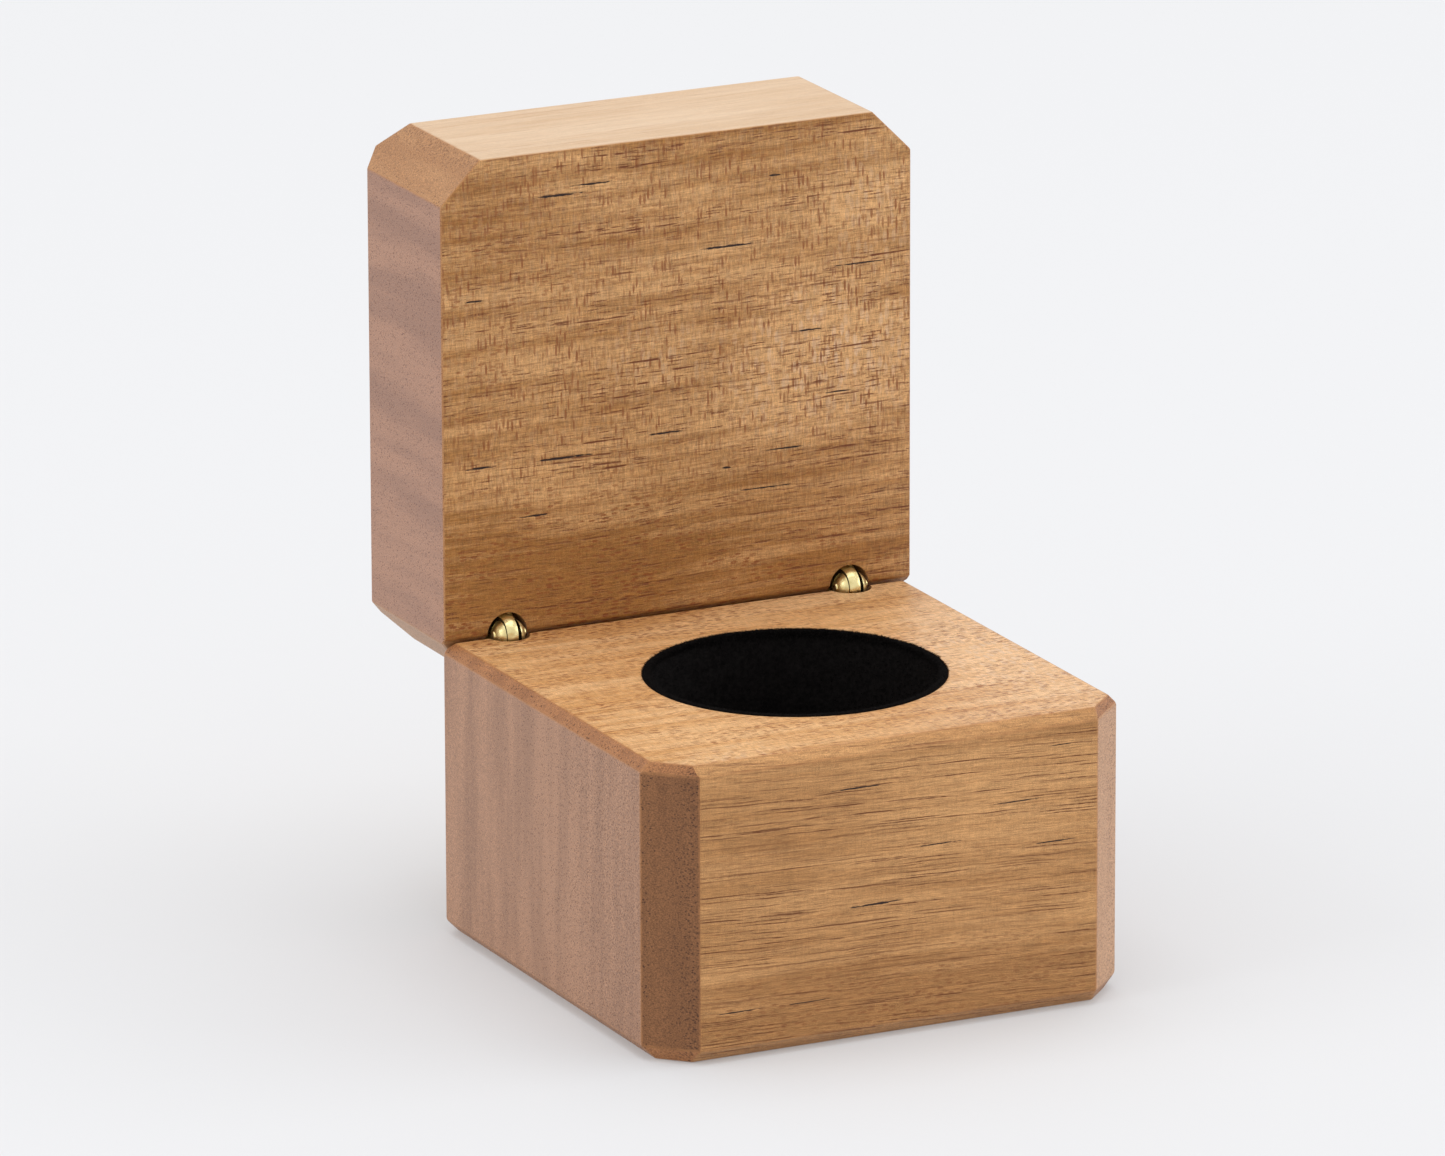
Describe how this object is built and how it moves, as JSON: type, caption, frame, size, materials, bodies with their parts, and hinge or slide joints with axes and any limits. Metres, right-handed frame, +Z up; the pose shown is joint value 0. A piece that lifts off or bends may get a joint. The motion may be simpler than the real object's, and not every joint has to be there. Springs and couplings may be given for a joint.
{
  "type": "ring box",
  "caption": "Small hinged wooden ring box: a bored base block with a black flock-lined well, a solid bevelled lid and brass barrel hinges, lid open upright.",
  "frame": {"origin": "centre of the base block's underside", "axes": "+Z up, +X to the right seen from the front, +Y towards the hinges at the back"},
  "size_m": [0.06, 0.0817, 0.0918],
  "materials": {
    "wood": "satin oiled hardwood",
    "flock": "black flock",
    "brass": "polished"
  },
  "bodies": {
    "base": {"base_block": "wood", "flock_lining": "flock", "hinge_base_barrel_left": "brass", "hinge_base_barrel_right": "brass", "hinge_pin_left": "brass", "hinge_pin_right": "brass"},
    "lid": {"lid_block": "wood", "hinge_lid_barrel_left": "brass", "hinge_lid_barrel_right": "brass"}
  },
  "joints": [
    {"name": "lid_hinge", "type": "hinge", "parent": "base", "child": "lid", "pos_m": [0, 0.0256, 0.03515], "axis": [1, 0, 0], "range_deg": [0, 90]}
  ]
}
